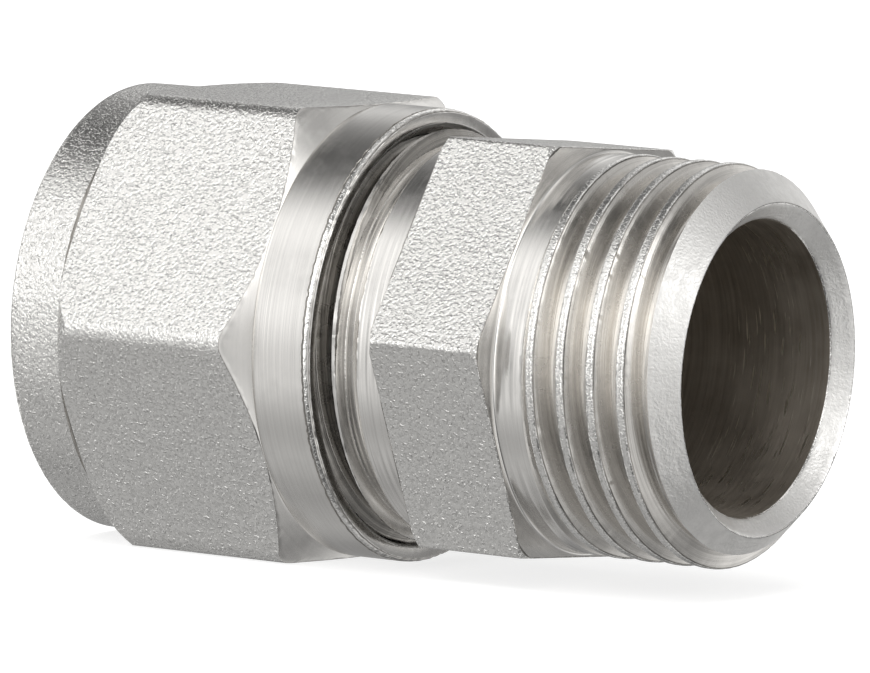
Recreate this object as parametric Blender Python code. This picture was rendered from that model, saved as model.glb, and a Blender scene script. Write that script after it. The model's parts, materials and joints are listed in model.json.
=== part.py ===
"""Straight compression coupling: a plastic pipe is clamped on a stem at one end, and the other end screws
into a female thread of another size.

The fitting lies on one flat of its nut, with its axis along +X and the threaded outlet at +X. The origin is
the middle of its footprint, on the surface that it lies on. Along the axis every place is counted from the
body hexagon's face on the pipe side, so what lies towards the pipe is negative.
"""

from math import ceil, cos, floor, pi, radians, sin, sqrt, tan

import bmesh
import bpy
from mathutils import Vector

mm = 0.001
full_turn = 2.0 * pi
straight = radians(45.0)

# How finely the round forms are stepped
round_steps = 40
envelope_steps = 96
corner_steps = 3
shoulder_steps = 6
fillet_steps = 3
seal_steps = 36
section_steps = 10

# Gaps and overruns
seat_gap = 0.3 * mm
overrun = 2.0 * mm
merge_distance = 0.001 * mm

# The pipe that the fitting takes: 16 mm outside, 2 mm wall
pipe_diameter = 16.0 * mm
pipe_wall = 2.0 * mm
pipe_clearance = 0.25 * mm
stem_clearance = 0.1 * mm

# The body's hexagon, turned a little against the nut's
body_across_flats = 21.3 * mm
body_hexagon_length = 6.6 * mm
body_corner_radius = 0.25 * mm
body_chamfer = 0.35 * mm
body_clocking = radians(-3.8)

# The outlet: a G 1/2 male thread round a straight bore. The lead is how far past the outlet's end a
# crest's middle would start its turn
outlet_length = 10.2 * mm
outlet_thread_diameter = 20.955 * mm
outlet_thread_pitch = 1.814 * mm
outlet_thread_depth = 1.162 * mm
outlet_thread_lead = 0.13 * mm
outlet_crest_share = 0.2
outlet_shoulder_share = 0.05
outlet_shoulder_drop = 0.1 * mm
outlet_neck_length = 1.7 * mm
outlet_neck_drop = 0.06 * mm
outlet_runout = 0.9 * mm
outlet_root_fillet = 0.25 * mm
outlet_wall = 1.62 * mm
outlet_lip = 0.92 * mm
outlet_rim_width = 0.06 * mm
outlet_bore_depth = 12.6 * mm
outlet_drill_angle = radians(59.0)

# The thread that the nut runs on: M22 x 1.5. Its lead is how far short of the relief groove a crest's
# middle is, on the side that faces -Y
joint_thread_diameter = 21.8 * mm
joint_thread_pitch = 1.5 * mm
joint_thread_depth = 0.81 * mm
joint_thread_length = 7.93 * mm
joint_thread_lead = 0.15 * mm
joint_crest_share = 0.125
joint_flank_share = 0.3125
joint_thread_clearance = 0.15 * mm
joint_flank_clearance = 0.1 * mm
relief_width = 0.97 * mm
relief_drop = 0.09 * mm
relief_fillet = 0.45 * mm
collar_height = 0.6 * mm
collar_length = 1.72 * mm

# The pipe socket round the stem, with the cone that closes the split ring
socket_depth = 3.6 * mm
socket_cone_depth = 1.4 * mm

# The stem that the pipe is pushed on
stem_reach = 11.4 * mm
stem_wall = 2.15 * mm
stem_tip_length = 0.9 * mm
stem_tip_drop = 0.6 * mm
barb_pitch = 1.15 * mm
barb_height = 0.35 * mm
tip_barbs = 2
root_barbs = 2
seal_section = 1.4 * mm
seal_proud = 0.25 * mm
seal_slack = 0.2 * mm
seal_places = (4.9 * mm, 8.3 * mm)

# The insulating washer at the bottom of the socket
washer_thickness = 1.5 * mm

# The nut
nut_across_flats = 23.88 * mm
nut_length = 18.75 * mm
nut_gap = 3.72 * mm
nut_corner_radius = 0.7 * mm
nut_collar_length = 3.3 * mm
nut_collar_rear_diameter = 23.5 * mm
nut_collar_front_diameter = 23.8 * mm
nut_collar_edge = 0.1 * mm
nut_shoulder_radius = 2.25 * mm
nut_hexagon_length = 12.0 * mm
nut_chamfer_angle = radians(30.0)
nut_barrel_wall = 0.87 * mm
nut_edge_chamfer = 0.2 * mm
nut_mouth_rim = 0.57 * mm
nut_rear_wall = 2.6 * mm
nut_bore_step = 0.34 * mm
nut_bore_length = 3.8 * mm
nut_closing_turns = 1.5

# The split ring
ring_clearance = 0.1 * mm
ring_side_gap = 0.4 * mm
ring_nose = 0.35 * mm
ring_slit = 2.0 * mm
ring_grooves = 4
ring_groove_depth = 0.22 * mm

# Sizes that follow from these
pipe_radius = pipe_diameter / 2.0
stem_radius = pipe_radius - pipe_wall - stem_clearance
stem_bore_radius = stem_radius - stem_wall
seal_floor_radius = stem_radius + seal_proud - seal_section - seal_slack
socket_radius = pipe_radius + pipe_clearance
socket_mouth_radius = socket_radius + socket_cone_depth * tan(straight)
joint_major_radius = joint_thread_diameter / 2.0
joint_minor_radius = joint_major_radius - joint_thread_depth
relief_radius = joint_minor_radius - relief_drop
collar_radius = relief_radius + collar_height
outlet_major_radius = outlet_thread_diameter / 2.0
outlet_minor_radius = outlet_major_radius - outlet_thread_depth
outlet_neck_radius = outlet_major_radius - outlet_neck_drop
outlet_bore_radius = outlet_minor_radius - outlet_wall
outlet_lip_radius = outlet_bore_radius + outlet_lip
outlet_rim_radius = outlet_lip_radius + outlet_rim_width
nut_thread_radius = joint_major_radius + joint_thread_clearance
nut_crest_radius = joint_minor_radius + joint_thread_clearance
nut_barrel_radius = nut_thread_radius + nut_barrel_wall
nut_mouth_radius = nut_barrel_radius - nut_mouth_rim
nut_core_radius = nut_thread_radius + nut_barrel_wall / 2.0
nut_bore_radius = nut_crest_radius - nut_bore_step
seat_shift = seat_gap * sqrt(2.0)

# Places along the axis
relief_start = -(collar_length + relief_width)
thread_start = relief_start - joint_thread_length
socket_floor = thread_start + socket_depth
stem_tip = thread_start - stem_reach
joint_crest = relief_start - joint_thread_pitch / 2.0 - joint_thread_lead
outlet_start = body_hexagon_length
outlet_end = outlet_start + outlet_length
outlet_bore_end = outlet_end - outlet_bore_depth
nut_rear = -(nut_gap + nut_length)
nut_hexagon_end = nut_collar_length + nut_hexagon_length
closing_travel = nut_closing_turns * joint_thread_pitch
body_face_x = (nut_gap + nut_length - outlet_end) / 2.0
axis_height = nut_across_flats / 2.0


def point_at(place, radius, angle):
    """The point at this place along the axis, this far from it, at this angle round it."""
    return Vector((place, radius * cos(angle), radius * sin(angle)))


def turned_row(place, radius, steps):
    """One ring of points of a turned surface, its last point on its first."""
    return [point_at(place, radius, full_turn * step / steps) for step in range(steps + 1)]


def turned_rows(profile, steps=round_steps):
    """The rings of a turned profile of (place, radius) pairs."""
    return [turned_row(place, radius, steps) for place, radius in profile]


def outline_radius(outline, turns):
    """The outline's radius this many turns past a crest's middle."""
    first_share, first_radius = outline[0]
    share = first_share + (turns - first_share) % 1.0
    following = outline[1:] + [(first_share + 1.0, first_radius)]
    for (low, low_radius), (high, high_radius) in zip(outline, following):
        if share <= high:
            return low_radius + (high_radius - low_radius) * (share - low) / (high - low)
    return first_radius


def thread_rows(start, end, pitch, crest, outline, lowest, highest):
    """The rings of a helical stretch from start to end.

    Each ring climbs one pitch per turn, so it ends where the ring one pitch on begins. outline holds
    (share of the pitch from the crest's middle, radius) pairs, crest is a place where a crest's middle
    starts its turn, and lowest and highest keep each place's radius within the run-outs.
    """
    first = floor((start - crest) / pitch) - 1
    last = ceil((end - crest) / pitch) + 1
    rows = []
    for turn in range(first, last):
        for share, radius in outline:
            row = []
            for step in range(round_steps + 1):
                round_share = step / round_steps
                place = crest + pitch * (turn + share + round_share)
                kept = radius
                if not start < place < end:
                    place = min(max(place, start), end)
                    kept = outline_radius(outline, (place - crest) / pitch - round_share)
                kept = min(max(kept, lowest(place)), highest(place))
                row.append(point_at(place, kept, full_turn * round_share))
            rows.append(row)
    return rows


def skin(name, rows):
    """A closed mesh from rings of points, each joined to the next and the last to the first."""
    shape = bmesh.new()
    rings = [[shape.verts.new(point) for point in row] for row in rows]
    for ring, following in zip(rings, rings[1:] + rings[:1]):
        for here in range(len(ring) - 1):
            shape.faces.new((ring[here], ring[here + 1], following[here + 1], following[here]))
    bmesh.ops.remove_doubles(shape, verts=shape.verts, dist=merge_distance)
    bmesh.ops.recalc_face_normals(shape, faces=shape.faces)
    return mesh_from(name, shape)


def prism(name, outline, start, end):
    """A closed mesh: an outline of (y, z) points, extruded along the axis from start to end."""
    shape = bmesh.new()
    base = shape.faces.new([shape.verts.new((start, across, up)) for across, up in outline])
    grown = bmesh.ops.extrude_face_region(shape, geom=[base])["geom"]
    moved = [item for item in grown if isinstance(item, bmesh.types.BMVert)]
    bmesh.ops.translate(shape, verts=moved, vec=(end - start, 0.0, 0.0))
    bmesh.ops.recalc_face_normals(shape, faces=shape.faces)
    return mesh_from(name, shape)


def mesh_from(name, shape):
    """A smooth-shaded mesh with its sharp edges kept, from a bmesh that is then freed."""
    mesh = bpy.data.meshes.new(name)
    shape.to_mesh(mesh)
    shape.free()
    mesh.shade_smooth()
    mesh.set_sharp_from_angle(angle=radians(30.0))
    return mesh


def place_object(name, mesh, parent, place=0.0, turn=0.0):
    """An object on the fitting's axis, at this place along it and turned this far round it."""
    piece = bpy.data.objects.new(name, mesh)
    bpy.context.collection.objects.link(piece)
    piece.parent = parent
    piece.location = (place, 0.0, 0.0)
    piece.rotation_euler = (turn, 0.0, 0.0)
    return piece


def as_guide(piece):
    """Marks an object that only shapes another one."""
    piece.hide_render = True
    piece.display_type = "WIRE"
    return piece


def combine(piece, other, operation):
    """Adds a Boolean modifier."""
    modifier = piece.modifiers.new(other.name, "BOOLEAN")
    modifier.operation = operation
    modifier.solver = "EXACT"
    modifier.object = other


def finish(name, colour, metallic, roughness):
    """A plain material."""
    material = bpy.data.materials.new(name)
    material.use_nodes = True
    shader = material.node_tree.nodes["Principled BSDF"]
    shader.inputs["Base Color"].default_value = (*colour, 1.0)
    shader.inputs["Metallic"].default_value = metallic
    shader.inputs["Roughness"].default_value = roughness
    return material


def hexagon_outline(across_flats, corner_radius):
    """A hexagon with a flat at its bottom and rounded corners, as (y, z) points."""
    arc_centre = (across_flats / 2.0 - corner_radius) / cos(full_turn / 12.0)
    points = []
    for corner in range(6):
        middle = full_turn * corner / 6.0
        for step in range(corner_steps + 1):
            angle = middle + full_turn / 6.0 * (step / corner_steps - 0.5)
            across = arc_centre * cos(middle) + corner_radius * cos(angle)
            up = arc_centre * sin(middle) + corner_radius * sin(angle)
            points.append((across, up))
    return points


def add_hexagon(piece, name, across_flats, corner_radius, profile, turn):
    """Joins a hexagon to a turned piece. profile is the turned tube that chamfers its two ends."""
    places = [place for place, radius in profile]
    outline = hexagon_outline(across_flats, corner_radius)
    block = prism(name, outline, min(places) - overrun, max(places) + overrun)
    hexagon = as_guide(place_object(name, block, piece, turn=turn))
    tube = skin(name + "_ends", turned_rows(profile, envelope_steps))
    combine(hexagon, as_guide(place_object(name + "_ends", tube, piece)), "INTERSECT")
    combine(piece, hexagon, "UNION")


# The body

def barbs(start, count):
    """Saw teeth on the stem: each rises towards the socket and drops straight down."""
    root = stem_radius - barb_height
    points = []
    for tooth in range(count):
        foot = start + tooth * barb_pitch
        points.append((foot, root))
        points.append((foot + barb_pitch * 0.8, stem_radius))
        points.append((foot + barb_pitch, stem_radius))
    return points


def fillet(wall, floor_radius, size):
    """A hollow corner from a cylinder up to a wall. The cylinder is on the size's side of the wall."""
    points = []
    for step in range(fillet_steps + 1):
        angle = full_turn / 4.0 * step / fillet_steps
        points.append((wall + size * (1.0 - sin(angle)), floor_radius + abs(size) * (1.0 - cos(angle))))
    return points


def stem_profile():
    """The stem's outside, from its tip to the bottom of the socket."""
    tip_radius = stem_radius - stem_tip_drop
    points = [(stem_tip, tip_radius)]
    points += barbs(stem_tip + stem_tip_length, tip_barbs)
    half_groove = seal_section / 2.0 + seal_slack
    for place in seal_places:
        middle = stem_tip + place
        points.append((middle - half_groove, stem_radius))
        points.append((middle - half_groove, seal_floor_radius))
        points.append((middle + half_groove, seal_floor_radius))
        points.append((middle + half_groove, stem_radius))
    last_groove_end = stem_tip + seal_places[-1] + half_groove
    points += barbs(last_groove_end + barb_pitch, root_barbs)
    points.append((socket_floor, stem_radius))
    return points


def socket_profile():
    """The socket that the pipe's end sits in, from its bottom out to the body's front edge."""
    return [
        (socket_floor, socket_radius),
        (thread_start + socket_cone_depth, socket_radius),
        (thread_start, socket_mouth_radius),
    ]


def joint_outline(crest_share, flank_share, major, minor):
    """One pitch of the nut's thread, as shares of the pitch and radii."""
    half_crest = crest_share / 2.0
    return [
        (-half_crest, major),
        (half_crest, major),
        (half_crest + flank_share, minor),
        (1.0 - half_crest - flank_share, minor),
    ]


def body_joint_rows():
    """The male thread that the nut runs on, chamfered at its front and cut off by the relief groove."""
    front_radius = relief_radius
    outline = joint_outline(joint_crest_share, joint_flank_share, joint_major_radius, joint_minor_radius)

    def lowest(place):
        return front_radius

    def highest(place):
        return front_radius + (place - thread_start)

    return thread_rows(thread_start, relief_start, joint_thread_pitch, joint_crest, outline, lowest, highest)


def outlet_rows():
    """The outlet's male thread: it runs out into the neck, and a cone cuts its outer end."""
    start = outlet_start + outlet_neck_length
    half_crest = outlet_crest_share / 2.0
    shoulder = half_crest + outlet_shoulder_share
    outline = [
        (-half_crest, outlet_major_radius),
        (half_crest, outlet_major_radius),
        (shoulder, outlet_major_radius - outlet_shoulder_drop),
        (0.5 - half_crest, outlet_minor_radius),
        (0.5 + half_crest, outlet_minor_radius),
        (1.0 - shoulder, outlet_major_radius - outlet_shoulder_drop),
    ]

    def lowest(place):
        return outlet_neck_radius - outlet_thread_depth * (place - start) / outlet_runout

    def highest(place):
        return min(outlet_neck_radius + (place - start), outlet_rim_radius + (outlet_end - place))

    crest = outlet_end + outlet_thread_lead
    return thread_rows(start, outlet_end, outlet_thread_pitch, crest, outline, lowest, highest)


def bore_profile():
    """The way through the fitting, from the outlet's rim back to the stem's tip."""
    lip_depth = outlet_lip_radius - outlet_bore_radius
    drill_depth = (outlet_bore_radius - stem_bore_radius) / tan(outlet_drill_angle)
    return [
        (outlet_end, outlet_lip_radius),
        (outlet_end - lip_depth, outlet_bore_radius),
        (outlet_bore_end, outlet_bore_radius),
        (outlet_bore_end - drill_depth, stem_bore_radius),
        (stem_tip, stem_bore_radius),
    ]


def body_hexagon_profile():
    """The tube that trims the body hexagon's corners at both ends."""
    root = (collar_radius + outlet_bore_radius) / 2.0
    corner = body_across_flats / 2.0 / cos(full_turn / 12.0)
    clear = corner + overrun
    trimmed = corner - body_chamfer
    slope = tan(radians(30.0))
    return [
        (0.0, root),
        (0.0, trimmed),
        ((clear - trimmed) * slope, clear),
        (body_hexagon_length - (clear - trimmed) * slope, clear),
        (body_hexagon_length, trimmed),
        (body_hexagon_length, root),
    ]


def make_body(parent, material):
    """The fitting's body: stem, socket, nut thread, hexagon and outlet, turned from one forging."""
    middle = body_hexagon_length / 2.0
    neck_end = outlet_start + outlet_neck_length
    rows = turned_rows(stem_profile() + socket_profile())
    rows += body_joint_rows()
    rows += turned_rows([(relief_start, relief_radius)])
    rows += turned_rows(fillet(-collar_length, relief_radius, -relief_fillet))
    rows += turned_rows([
        (-collar_length, collar_radius),
        (middle, collar_radius),
        (middle, outlet_neck_radius + outlet_root_fillet),
    ])
    rows += turned_rows(reversed(fillet(outlet_start, outlet_neck_radius, outlet_root_fillet)))
    rows += turned_rows([(neck_end, outlet_neck_radius)])
    rows += outlet_rows()
    rows += turned_rows(bore_profile())
    body = place_object("fitting_body", skin("fitting_body", rows), parent)
    body.data.materials.append(material)
    add_hexagon(
        body, "body_hexagon", body_across_flats, body_corner_radius, body_hexagon_profile(), body_clocking
    )
    return body


# The nut

def nut_inside_rows():
    """The nut's inside, from its mouth back to the pipe's hole: thread, bore and clamping cone."""
    widened = joint_crest_share + 2.0 * joint_flank_clearance / joint_thread_pitch
    cone_start = nut_rear_wall
    cone_end = cone_start + nut_bore_radius - socket_radius
    thread_end = cone_end + nut_bore_length
    outline = joint_outline(widened, joint_flank_share, nut_thread_radius, nut_crest_radius)

    def lowest(place):
        return nut_mouth_radius - (nut_length - place)

    def highest(place):
        return max(nut_bore_radius + (place - thread_end), lowest(place))

    crest = joint_crest - nut_rear
    rows = thread_rows(thread_end, nut_length, joint_thread_pitch, crest, outline, lowest, highest)
    rows.reverse()
    rows += turned_rows([
        (cone_end, nut_bore_radius),
        (cone_start, socket_radius),
        (0.0, socket_radius),
    ])
    return rows


def nut_outside_profile():
    """The nut's turned outside, from its rear face to its mouth; the hexagon covers its middle."""
    rear_radius = nut_collar_rear_diameter / 2.0
    front_radius = nut_collar_front_diameter / 2.0
    inset = nut_shoulder_radius
    return [
        (0.0, rear_radius - nut_collar_edge),
        (nut_collar_edge, rear_radius),
        (nut_collar_length + inset, front_radius),
        (nut_collar_length + inset, nut_core_radius),
        (nut_hexagon_end - inset, nut_core_radius),
        (nut_hexagon_end - inset, nut_barrel_radius),
        (nut_length - nut_edge_chamfer, nut_barrel_radius),
        (nut_length, nut_barrel_radius - nut_edge_chamfer),
    ]


def nut_hexagon_profile():
    """The tube that rounds the nut hexagon's rear shoulders and chamfers its front corners."""
    corner = nut_across_flats / 2.0 / cos(full_turn / 12.0)
    clear = corner + overrun
    arc_radius = nut_shoulder_radius
    inner_radius = (nut_core_radius + nut_thread_radius) / 2.0
    points = [(nut_collar_length, inner_radius)]
    for step in range(shoulder_steps + 1):
        angle = full_turn / 4.0 * step / shoulder_steps
        place = nut_collar_length + arc_radius * (1.0 - cos(angle))
        points.append((place, nut_core_radius + arc_radius * sin(angle)))
    points.append((points[-1][0], clear))
    chamfer_length = (clear - nut_barrel_radius) * tan(nut_chamfer_angle)
    points.append((nut_hexagon_end - chamfer_length, clear))
    points.append((nut_hexagon_end, nut_barrel_radius))
    points.append((nut_hexagon_end, inner_radius))
    return points


def make_nut(parent, material):
    """The compression nut, with its origin on its axis at its rear face."""
    rows = turned_rows(nut_outside_profile())
    rows += nut_inside_rows()
    nut = place_object("compression_nut", skin("compression_nut", rows), parent, nut_rear)
    nut.data.materials.append(material)
    add_hexagon(nut, "nut_hexagon", nut_across_flats, nut_corner_radius, nut_hexagon_profile(), 0.0)
    return nut


# The pieces inside

def ring_profile():
    """The split ring's section: cones at both ends and gripping grooves inside, from its rear face on."""
    inner = pipe_radius + ring_clearance
    outer = nut_bore_radius - ring_side_gap
    nose = inner + ring_nose
    rear = nut_rear + nut_rear_wall + (nose - socket_radius) + seat_shift
    front = thread_start + (socket_mouth_radius - nose) - seat_shift - closing_travel
    points = [(rear, inner), (rear, nose), (rear + outer - nose, outer)]
    points += [(front - (outer - nose), outer), (front, nose), (front, inner)]
    groove_pitch = (front - rear) / (ring_grooves + 1)
    for groove in range(ring_grooves, 0, -1):
        middle = rear + groove * groove_pitch
        points.append((middle + ring_groove_depth, inner))
        points.append((middle, inner + ring_groove_depth))
        points.append((middle - ring_groove_depth, inner))
    return points


def make_ring(parent, material):
    """The split ring, cut through at the top."""
    profile = ring_profile()
    places = [place for place, radius in profile]
    ring = place_object("split_ring", skin("split_ring", turned_rows(profile)), parent)
    ring.data.materials.append(material)
    half_slit = ring_slit / 2.0
    top = nut_bore_radius + overrun
    outline = [(-half_slit, 0.0), (half_slit, 0.0), (half_slit, top), (-half_slit, top)]
    slit = prism("ring_slit", outline, min(places) - overrun, max(places) + overrun)
    combine(ring, as_guide(place_object("ring_slit", slit, parent)), "DIFFERENCE")
    return ring


def make_seal(name, parent, place, material):
    """An O-ring in its groove on the stem."""
    half_section = seal_section / 2.0
    middle_radius = stem_radius + seal_proud - half_section
    profile = []
    for step in range(section_steps):
        angle = full_turn * step / section_steps
        profile.append((half_section * cos(angle), middle_radius + half_section * sin(angle)))
    seal = place_object(name, skin(name, turned_rows(profile, seal_steps)), parent, stem_tip + place)
    seal.data.materials.append(material)
    return seal


def make_washer(parent, material):
    """The insulating washer that keeps the pipe's metal layer off the brass."""
    inner = stem_radius + seat_gap
    outer = socket_radius - seat_gap
    profile = [(0.0, inner), (-washer_thickness, inner), (-washer_thickness, outer), (0.0, outer)]
    mesh = skin("insulating_washer", turned_rows(profile, seal_steps))
    washer = place_object("insulating_washer", mesh, parent, socket_floor - seat_gap)
    washer.data.materials.append(material)
    return washer


def main():
    """Builds the fitting on an empty that stands for its axis."""
    for item in list(bpy.data.objects):
        bpy.data.objects.remove(item)

    axis = bpy.data.objects.new("fitting_axis", None)
    bpy.context.collection.objects.link(axis)
    axis.location = (body_face_x, 0.0, axis_height)

    nickel = finish("nickel_plate", (0.62, 0.61, 0.59), 1.0, 0.32)
    blasted = finish("blasted_nickel", (0.66, 0.65, 0.63), 1.0, 0.48)
    brass = finish("bare_brass", (0.72, 0.53, 0.25), 1.0, 0.35)
    rubber = finish("seal_rubber", (0.02, 0.02, 0.02), 0.0, 0.6)
    plastic = finish("washer_plastic", (0.85, 0.85, 0.82), 0.0, 0.4)

    make_body(axis, nickel)
    make_nut(axis, blasted)
    make_ring(axis, brass)
    for number, place in enumerate(seal_places, 1):
        make_seal("stem_seal_" + str(number), axis, place, rubber)
    make_washer(axis, plastic)


main()
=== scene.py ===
"""Looks of a nickel-plated compression coupling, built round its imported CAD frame.

The body and the nut are finely meshed again on the sizes of their CAD solids: threads with worn crests,
turned shoulders and grooves, and forged hexagons with rounded corners. Each stands for its CAD node and
rides on the same body. Lengths in the dataclasses are in millimetres, and angles in degrees. Every mesh has
its origin on the fitting's axis, so the materials can follow the turning.
"""

import json
import logging
import math
from dataclasses import dataclass, field
from enum import Enum, IntEnum
from typing import Callable, Iterable, NamedTuple

import bmesh
import bpy
import numpy as np
from mathutils import Matrix, Vector

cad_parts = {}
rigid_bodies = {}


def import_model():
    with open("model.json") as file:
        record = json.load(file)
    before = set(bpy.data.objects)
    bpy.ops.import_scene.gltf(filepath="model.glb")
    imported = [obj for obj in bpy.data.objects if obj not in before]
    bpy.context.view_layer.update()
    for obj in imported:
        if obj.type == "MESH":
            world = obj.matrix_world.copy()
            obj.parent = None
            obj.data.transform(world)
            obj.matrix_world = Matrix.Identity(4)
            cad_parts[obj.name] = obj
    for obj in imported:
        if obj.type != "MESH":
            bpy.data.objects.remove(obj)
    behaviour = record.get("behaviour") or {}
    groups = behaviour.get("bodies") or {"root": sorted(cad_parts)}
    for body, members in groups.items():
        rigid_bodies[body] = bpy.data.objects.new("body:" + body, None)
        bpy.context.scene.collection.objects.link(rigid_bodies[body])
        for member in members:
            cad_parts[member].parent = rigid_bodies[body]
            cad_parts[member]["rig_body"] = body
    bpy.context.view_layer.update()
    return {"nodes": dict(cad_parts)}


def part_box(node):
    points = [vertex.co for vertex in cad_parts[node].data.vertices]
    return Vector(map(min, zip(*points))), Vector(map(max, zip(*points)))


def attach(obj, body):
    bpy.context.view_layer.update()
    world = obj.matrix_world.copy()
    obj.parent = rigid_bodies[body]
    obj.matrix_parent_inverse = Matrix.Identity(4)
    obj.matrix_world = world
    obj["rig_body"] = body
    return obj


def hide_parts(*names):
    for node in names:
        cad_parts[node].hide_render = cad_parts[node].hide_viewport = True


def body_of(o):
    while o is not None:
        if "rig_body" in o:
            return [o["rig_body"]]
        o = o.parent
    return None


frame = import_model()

MM = 0.001
TURN = 2.0 * math.pi
TRIM_SLOPE = math.tan(math.radians(30.0))  # The cone that trims the corners of both hexagons
KNOTS = 340  # Changes of a worn edge's random line in one turn
WELD, SLIVER = 0.0006, 0.0002  # Points nearer than the one, and edges shorter than the other, become one point
SHARP_ANGLE = 26.0  # Steeper corners than this stay sharp when a mesh is shaded smooth

logging.basicConfig(level=logging.INFO, format="%(name)s: %(message)s")
log = logging.getLogger("coupling")

Colour = tuple[float, float, float]
Point = tuple[float, float]
Row = tuple[np.ndarray, np.ndarray]
Limit = Callable[[np.ndarray], np.ndarray]
Test = Callable[[np.ndarray, np.ndarray], np.ndarray]
Socket = bpy.types.NodeSocket


class Zone(Enum):
    """The finishes that a skin of rings may carry, in the order of its material slots."""

    TURNED = 0
    FORGED = 1
    BORE = 2
    # Darker, browner nickel in thread flanks and roots, the relief groove and thin edge lines: painted shade
    ROOT = 3
    # Dark nickel with darker lines in gaps, thin grooves and the nut's thread: painted shade
    GAP = 4
    RIM = 5
    EDGE = 6


class Seed(IntEnum):
    """The seed of each random line or set of ridges. A thread uses two for each corner, from its own up."""

    JOINT_THREAD = 11
    COLLAR_EDGE = 31
    RELIEF = 33
    COLLAR = 37
    NECK = 39
    BODY_HEXAGON = 47
    LIP = 71
    OUTLET_THREAD = 101
    NUT_REAR = 211
    NUT_STEP = 215
    NUT_CHAMFER = 217
    BARREL = 219
    MOUTH_NICKS = 223
    MOUTH_TEAR = 227
    MOUTH_RIM = 229
    NUT_THREAD = 401


# Meshes


@dataclass
class Wander:
    """A gentle random line along a turned edge, the same at every run.

    It is periodic over a whole number of turns, so that a helix joins itself without a step.
    """

    seed: int
    knots: int = KNOTS
    turns: int = 8

    def __post_init__(self) -> None:
        """Draws the knots of the line."""
        draw = np.random.default_rng(int(self.seed))
        self.values = draw.standard_normal(self.knots * self.turns)

    def at(self, turned: np.ndarray) -> np.ndarray:
        """Reads the line.

        Args:
            turned: How many turns round the axis each point is.

        Returns:
            Values with a spread of about one.
        """
        spot = turned * self.knots
        low = np.floor(spot).astype(int)
        share = spot - low
        share = share * share * (3.0 - 2.0 * share)
        count = len(self.values)
        return self.values[low % count] * (1.0 - share) + self.values[(low + 1) % count] * share


class EdgeRing(NamedTuple):
    """One ring of a worn edge.

    It lies so far along the axis from the edge and so far sunk below it, and takes these shares of the nicks
    and the tears that run along the edge.
    """

    along: float
    sunk: float
    zone: Zone = Zone.TURNED
    nicked: float = 0.0
    torn: float = 0.0


class Ridges(NamedTuple):
    """The tool's marks on a turned length: about how far apart they are, and how deep at most.

    A higher skew makes the shallow ones more common. The shift is how much of a step they may stray.
    """

    step: float
    depth: float
    seed: Seed
    skew: float = 1.6
    shift: float = 0.3


@dataclass
class Skin:
    """A closed surface from rings of points round the axis, each joined to the next.

    A patch gives a finish to the faces that its test holds for at each corner's place and radius.
    """

    angles: np.ndarray
    rows: list[Row] = field(default_factory=list)
    zones: list[Zone] = field(default_factory=list)
    patches: list[tuple[Test, Zone]] = field(default_factory=list)

    def ring(self, place: np.ndarray | float, radius: np.ndarray | float, zone: Zone) -> None:
        """Adds one ring.

        Args:
            place: The ring's place along the axis, for all columns or for each.
            radius: Its distance from the axis, likewise.
            zone: The finish from this ring to the next.
        """
        shape = self.angles.shape
        self.rows.append(tuple(np.broadcast_to(part, shape).astype(float) for part in (place, radius)))
        self.zones.append(zone)

    def profile(self, points: Iterable[Point], zone: Zone) -> None:
        """Adds one plain ring for each point of a turned profile.

        Args:
            points: Pairs of place and radius.
            zone: The finish from each of these rings to the next.
        """
        for place, radius in points:
            self.ring(place, radius, zone)

    def waver(self, seed: Seed, height: float, knots: int = KNOTS) -> np.ndarray:
        """A random line once round the axis.

        Args:
            seed: What draws it.
            height: About how far it strays to either side.
            knots: How many changes it has in one turn.

        Returns:
            Its height at each column.
        """
        return height * Wander(seed, knots).at(self.angles / TURN)

    def edge(
        self,
        place: float,
        radius: float,
        rings: Iterable[EdgeRing],
        nick: np.ndarray | float = 0.0,
        tear: np.ndarray | float = 0.0,
    ) -> None:
        """Adds the rings of a worn edge.

        Args:
            place: The edge's place.
            radius: The edge's radius.
            rings: Its rings, in order.
            nick: How deep the edge is nicked at each column.
            tear: How far it strays along the axis at each column.
        """
        for ring in rings:
            worn = radius - ring.sunk - nick * ring.nicked
            self.ring(place + ring.along + tear * ring.torn, worn, ring.zone)

    def ridged(self, start: float, end: float, radius: float, ridges: Ridges, zone: Zone) -> None:
        """Adds a plain turned length with fine uneven ridges left by the tool.

        Args:
            start: The place where it begins.
            end: The place where it ends.
            radius: The ridges' greatest distance from the axis.
            ridges: What they are like.
            zone: Their finish.
        """
        count = max(2, round((end - start) / ridges.step))
        draw = np.random.default_rng(int(ridges.seed))
        sunk = ridges.depth * draw.random(count + 1) ** ridges.skew
        shift = ridges.step * ridges.shift * (draw.random(count + 1) - 0.5)
        shift[[0, -1]] = 0.0
        for number in range(count + 1):
            self.ring(start + (end - start) * number / count + shift[number], radius - sunk[number], zone)

    def grown(self, name: str) -> bpy.types.Object:
        """Joins the rings to a closed mesh on an object at the world's origin.

        Args:
            name: The piece's name.

        Returns:
            The new object.
        """
        places = np.array([row[0] for row in self.rows])
        radii = np.array([row[1] for row in self.rows])
        points = np.stack([places, radii * np.cos(self.angles), radii * np.sin(self.angles)], -1) * MM
        count, width = places.shape
        here = np.arange(width - 1)
        faces = []
        for row in range(count):
            a, b = row * width + here, ((row + 1) % count) * width + here
            faces.append(np.stack([a, a + 1, b + 1, b], -1))
        mesh = bpy.data.meshes.new(name)
        mesh.from_pydata(points.reshape(-1, 3).tolist(), [], np.concatenate(faces).tolist())
        marks = np.tile(np.array([[zone.value] for zone in self.zones]), width - 1)
        for test, zone in self.patches:
            held = test(places, radii)
            held &= np.roll(held, -1, axis=0)
            marks[held[:, :-1] & held[:, 1:]] = zone.value
        mesh.polygons.foreach_set("material_index", marks.astype(np.int32).ravel())
        return piece_from(name, mesh)


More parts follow.
